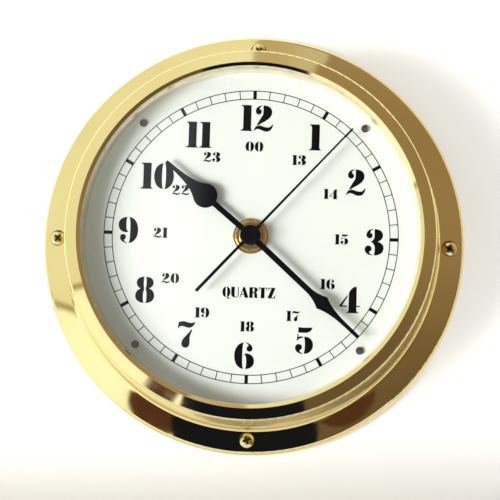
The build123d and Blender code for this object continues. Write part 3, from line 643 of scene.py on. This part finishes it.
def pane():
    """Clear flat glass, faintly mirroring, that lets lamps and bounced light straight through."""
    finish = Finish("window_glass").set(Base_Color=(1, 1, 1, 1), Transmission_Weight=1, IOR=1.36)
    finish.roughness(finish.spread(finish.noise(60), 0, .004))
    nodes = finish.tree.nodes
    path = nodes.new("ShaderNodeLightPath")
    clear = nodes.new("ShaderNodeBsdfTransparent")
    mix = nodes.new("ShaderNodeMixShader")
    shadow, diffuse = path.outputs["Is Shadow Ray"], path.outputs["Is Diffuse Ray"]
    passing = finish.sum_of(shadow, diffuse, "MAXIMUM")
    finish.join(passing, mix.inputs["Fac"])
    finish.join(finish.shader.outputs["BSDF"], mix.inputs[1])
    finish.join(clear.outputs["BSDF"], mix.inputs[2])
    finish.join(mix.outputs["Shader"], finish.out.inputs["Surface"])
    return finish.material


def rubber():
    finish = Finish("black_rubber")
    finish.mottle(700, (.018, .012, .01), (.032, .026, .024))
    finish.roughness(finish.spread(finish.noise(1500), .55, .72))
    return finish.bump(finish.noise(4000), .01 * MM).material


def metal(name, low, high, rough, grain=800):
    """Plain plated or bare metal with faint grain."""
    finish = Finish(name).set(Metallic=1)
    finish.mottle(grain, low, high)
    finish.roughness(finish.spread(finish.noise(grain * 2), *rough))
    return finish.bump(finish.noise(grain * 3), .002 * MM).material


def moulding(name, low, high, rough, texture=5000, depth=.006):
    """Injection-moulded plastic with a fine spark-eroded texture."""
    finish = Finish(name)
    finish.mottle(250, low, high)
    finish.roughness(finish.spread(finish.noise(texture / 3), *rough))
    return finish.bump(finish.noise(texture), depth * MM).material


def copper_wire():
    """Enamelled wire wound turn beside turn along Z."""
    finish = Finish("copper_wire").set(Metallic=.9, Coat_Weight=.6, Coat_Roughness=.15)
    turns = finish.bands(2100, "Z")
    # painted shade: the colour goes dark in the grooves between the turns
    finish.colour(finish.blend(turns, (.16, .045, .018), (.62, .24, .10)))
    finish.roughness(finish.spread(finish.noise(1500), .2, .34))
    return finish.bump(turns, .05 * MM).material


def circuit_green():
    finish = Finish("board_green").set(Coat_Weight=.4, Coat_Roughness=.2)
    tracks = finish.spread(finish.bands(120, "DIAGONAL"), 0, 1, .72, .78)
    finish.colour(finish.blend(tracks, (.01, .09, .035), (.03, .17, .07)))
    finish.roughness(finish.spread(finish.noise(900), .3, .42))
    return finish.bump(tracks, .03 * MM).material


def cell_sleeve():
    """Shrink sleeve in two plain colours, bare metal at the cell's ends."""
    finish = Finish("cell_sleeve")
    low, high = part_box("battery")
    nodes = finish.tree.nodes
    split = nodes.new("ShaderNodeSeparateXYZ")
    finish.join(finish.place, split.inputs[0])
    copper_from = low.x + .7 * (high.x - low.x)
    bare_button, bare_base = 1.45 * MM, .45 * MM
    copper = finish.sum_of(split.outputs["X"], copper_from, "GREATER_THAN")
    right_end = finish.sum_of(split.outputs["X"], high.x - bare_button, "GREATER_THAN")
    left_end = finish.sum_of(split.outputs["X"], low.x + bare_base, "LESS_THAN")
    bare = finish.sum_of(right_end, left_end, "MAXIMUM")
    grain = finish.spread(finish.noise(600), 0, 1)
    sleeve = finish.blend(copper, (.018, .019, .021), (.55, .25, .07))
    finish.colour(finish.blend(bare, sleeve, finish.blend(grain, (.5, .5, .49), (.62, .62, .6))))
    finish.roughness(finish.spread(finish.noise(1200), .18, .3))
    finish.join(finish.sum_of(copper, bare, "MAXIMUM"), finish.shader.inputs["Metallic"])
    return finish.bump(finish.noise(500), .01 * MM).material


def slot_finishes():
    """One finish for each material slot of the record."""
    black, white = ((.022, .022, .024), (.032, .032, .034)), ((.78, .77, .72), (.84, .83, .79))
    iron, grey = ((.36, .36, .37), (.48, .48, .49)), ((.07, .07, .075), (.11, .11, .115))
    return {
        "polished_brass": polished_brass(),
        "turned_brass": turned_brass(),
        "hand_black": lacquer_black(),
        "dial_white": dial_enamel(),
        "window_glass": pane(),
        "black_rubber": rubber(),
        "nickel": metal("nickel", (.55, .55, .53), (.68, .68, .66), (.16, .28)),
        "black_moulding": moulding("black_moulding", *black, (.42, .56)),
        "white_moulding": moulding("white_moulding", *white, (.34, .46)),
        "soft_iron": metal("soft_iron", *iron, (.28, .42)),
        "magnet_grey": moulding("magnet_grey", *grey, (.5, .65)),
        "copper_wire": copper_wire(),
        "board_green": circuit_green(),
        "chip_black": moulding("chip_black", (.012, .012, .012), (.02, .02, .02), (.45, .6)),
        "cell_sleeve": cell_sleeve(),
    }


def dress(piece, material):
    piece.data.materials.clear()
    piece.data.materials.append(material)


# ---- studio ----

FLOOR_Z = -.5
WALL_PAINT = (.93, .92, .91)
WALL_LOW_SHADE = (.40, .385, .35)             # painted shade: the wall's paint and glow fall off to this below the clock

def plane(name, corners):
    mesh = bpy.data.meshes.new(name)
    mesh.from_pydata(corners, [], [(0, 1, 2, 3)])
    return add_object(name, mesh)


def stage_paint(name, colour, glow):
    """Matt paint for a backdrop, with a little light of its own to keep it pale."""
    finish = Finish(name).set(Roughness=.9, Emission_Strength=glow)
    finish.shader.inputs["Emission Color"].default_value = (*colour, 1)
    finish.colour(finish.blend(finish.noise(3), colour, tuple(.98 * c for c in colour)))
    return finish


def bulkhead():
    """Pale wall that the clock is screwed to, painted darker below the clock as shade. From behind
    it can be seen through.
    """
    y = BULKHEAD_Y + .3 * MM
    left, right, top = -1.5, 1.5, 1.5
    corners = [(left, y, FLOOR_Z), (right, y, FLOOR_Z), (right, y, top), (left, y, top)]
    wall = plane("bulkhead", corners)
    finish = stage_paint("bulkhead_paint", WALL_PAINT, .48)
    nodes = finish.tree.nodes
    split = nodes.new("ShaderNodeSeparateXYZ")
    finish.join(finish.place, split.inputs[0])
    # painted shade: paint and glow darken towards the bottom, below the clock
    height = finish.spread(split.outputs["Z"], 0, 1, -1.3 * FLANGE_R, -.5 * FLANGE_R)
    paint = finish.blend(height, WALL_LOW_SHADE, WALL_PAINT)
    finish.colour(paint)
    finish.join(paint, finish.shader.inputs["Emission Color"])
    geometry = nodes.new("ShaderNodeNewGeometry")
    clear = nodes.new("ShaderNodeBsdfTransparent")
    mix = nodes.new("ShaderNodeMixShader")
    finish.join(geometry.outputs["Backfacing"], mix.inputs["Fac"])
    finish.join(finish.shader.outputs["BSDF"], mix.inputs[1])
    finish.join(clear.outputs["BSDF"], mix.inputs[2])
    finish.join(mix.outputs["Shader"], finish.out.inputs["Surface"])
    dress(wall, finish.material)
    wall.visible_shadow = False
    wall.visible_diffuse = False
    return wall


def floor():
    reach = 4
    quarters = ((-1, -1), (1, -1), (1, 1), (-1, 1))
    ground = plane("floor", [(reach * x, reach * y, FLOOR_Z) for x, y in quarters])
    dress(ground, stage_paint("floor_paint", (.86, .86, .855), .2).material)
    ground.visible_glossy = False
    return ground


def soft_lamp(name, direction, distance, size, power):
    """A rectangular soft light that points at the clock and isn't mirrored in it."""
    lamp = bpy.data.lights.new(name, "AREA")
    lamp.shape = "RECTANGLE"
    lamp.size, lamp.size_y = size
    lamp.energy = power
    holder = add_object(name, lamp)
    away = Vector(direction).normalized()
    holder.location = away * distance
    holder.rotation_euler = away.to_track_quat("Z", "Y").to_euler()
    holder.visible_glossy = False
    return holder


def facing(azimuth, elevation):
    """Unit vector at an angle right of straight in front of the dial, and above the horizon."""
    a, e = math.radians(azimuth), math.radians(elevation)
    return Vector((math.sin(a) * math.cos(e), -math.cos(a) * math.cos(e), math.sin(e)))


def cosine(degrees):
    return math.cos(math.radians(degrees))


def surroundings():
    """What the brass mirrors, each patch over the ones before it.

    A patch is its direction, the cosine of the angle it reaches to, how soft its edge is in
    the same measure, and its colour.
    """
    return [
        (facing(40, -45), .80, .22, (.15, .11, .08)),                    # dim floor, right
        (facing(60, 75), .80, .12, (.42, .33, .26)),                     # ceiling, right
        (facing(5, 49), cosine(8), .0015, (.68, .65, .66)),              # pale patch above
        (facing(-90, 0), -.09, .06, (.62, .55, .45)),                    # beside the window
        (facing(4, 5), cosine(10), .008, (.05, .045, .04)),              # round the camera
        ((0, 1, 0), -.15, .15, (.95, .95, .97)),                         # wall behind
        (facing(-94, 0), .0, .012, (1.02, 1.07, 1.12)),                  # window, whole left side
        (facing(-50, -40), .826, .005, (.48, .40, .33)),                 # its frame
        (facing(-50, -40), .838, .007, (1.3, 1.42, 1.7)),                # brighter lower pane
        (facing(-17, 2), cosine(12), .01, (.2, .2, .18)),                # dim gap left of camera
        (facing(0, -90), cosine(44.5), .01, (1.0, 1.08, 1.5)),           # pale ground
        (facing(19, -25), cosine(6.5), .0008, (.10, .045, .03)),         # brown thing, right
        (facing(-23, -28), cosine(6.3), .0008, (.10, .045, .032)),       # brown thing, left
        (facing(-3, -34), cosine(14.8), .0015, (.009, .012, .028)),      # black thing in front
    ]


ROOM_BASE = (.36, .27, .20)
SOFT_FILL = (.205, .205, .155)                # the light that matt surfaces get from all round
BACKDROP = (.93, .93, .925)


def studio_air():
    """Plain air for the camera, soft fill for matt surfaces and a room for the brass."""
    world = bpy.data.worlds.new("studio")
    bpy.context.scene.world = world
    world.use_nodes = True
    tree = world.node_tree
    tree.nodes.clear()
    direction = tree.nodes.new("ShaderNodeTexCoord").outputs["Generated"]

    def patch(below, toward, edge, soft, colour):
        """Mixes a colour over what is below where the direction is within edge of toward."""
        dot = tree.nodes.new("ShaderNodeVectorMath")
        dot.operation = "DOT_PRODUCT"
        dot.inputs[1].default_value = toward
        tree.links.new(direction, dot.inputs[0])
        ranged = tree.nodes.new("ShaderNodeMapRange")
        ranged.interpolation_type = "SMOOTHSTEP"
        ranged.inputs["From Min"].default_value = edge - soft
        ranged.inputs["From Max"].default_value = edge + soft
        tree.links.new(dot.outputs["Value"], ranged.inputs["Value"])
        mix = tree.nodes.new("ShaderNodeMix")
        mix.data_type = "RGBA"
        tree.links.new(ranged.outputs["Result"], mix.inputs["Factor"])
        if isinstance(below, bpy.types.NodeSocket):
            tree.links.new(below, mix.inputs[6])
        else:
            mix.inputs[6].default_value = (*below, 1)
        mix.inputs[7].default_value = (*colour, 1)
        return mix.outputs[2]

    room = ROOM_BASE
    for toward, edge, soft, colour in surroundings():
        room = patch(room, toward, edge, soft, colour)

    path = tree.nodes.new("ShaderNodeLightPath")

    def seen_by(ray, below, colour):
        """Shows one plain colour to one kind of ray, and what is below to the rest."""
        mix = tree.nodes.new("ShaderNodeMix")
        mix.data_type = "RGBA"
        tree.links.new(path.outputs[ray], mix.inputs["Factor"])
        tree.links.new(below, mix.inputs[6])
        mix.inputs[7].default_value = (*colour, 1)
        return mix.outputs[2]

    room = seen_by("Is Diffuse Ray", room, SOFT_FILL)
    room = seen_by("Is Camera Ray", room, BACKDROP)
    background = tree.nodes.new("ShaderNodeBackground")
    output = tree.nodes.new("ShaderNodeOutputWorld")
    tree.links.new(room, background.inputs["Color"])
    tree.links.new(background.outputs["Background"], output.inputs["Surface"])


def camera():
    """Close and nearly square on, from a little below and to the right of the dial's middle."""
    azimuth, elevation, distance = 2.07, -6.41, .600
    roll = 1.8
    forward, left, down = 6.5 * MM, .35 * MM, 4.03 * MM
    middle = Vector((0, (DIAL_FRONT + BULKHEAD_Y) / 2 - forward, 0))
    place = middle + facing(azimuth, elevation) * distance
    aim = middle + Vector((-left, 0, -down))
    lens = bpy.data.cameras.new("camera")
    lens.sensor_width = 36
    lens.lens = 124.6
    lens.clip_start = .05
    lens.clip_end = 20
    holder = add_object("camera", lens)
    look = (aim - place).to_track_quat("-Z", "Y").to_matrix().to_4x4()
    turn = Matrix.Rotation(math.radians(roll), 4, "Z")
    holder.matrix_world = Matrix.Translation(place) @ look @ turn
    bpy.context.scene.camera = holder


# ---- put it together ----

camera()
studio_air()
wall = bulkhead()
ground = floor()
soft_lamp("window_light", facing(-50, -14), distance=1.3, size=(.6, .5), power=22.5)
soft_lamp("side_light", facing(-68, 14), distance=1.3, size=(.8, 1.5), power=6.0)
bpy.context.scene.view_settings.view_transform = "Standard"

finishes = slot_finishes()
slot_of = {entry["node"]: entry["material_slot"] for entry in frame["record"]["subparts"]}
for node, piece in frame["nodes"].items():
    dress(piece, finishes[slot_of[node]])
dress(frame["nodes"]["reveal_ring"], satin_brass())
# painted shade: a much darker copy of the nickel, whose dark colour stands for the shade on the
# dial screws
shaded_nickel = metal("shaded_nickel", (.13, .125, .11), (.21, .20, .18), (.3, .42))
dress(frame["nodes"]["dial_screws"], shaded_nickel)
dress(frame["nodes"]["flange_screws"], screw_brass())

ink = printing_ink()
printed = [
    print_figures("hour_numerals", hour_labels(), HOUR_HEIGHT, HOUR_GAP),
    print_figures("afternoon_numerals", afternoon_labels(), SMALL_HEIGHT, SMALL_GAP, SMALL_BROAD),
    minute_track(),
    print_figures("dial_word", [("QUARTZ", 0, WORD_Z)], WORD_HEIGHT, WORD_GAP),
]
for piece in printed:
    dress(piece, ink)
    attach(piece, "root")

threads = screw_threads()
dress(threads, finishes["polished_brass"])
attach(threads, "root")
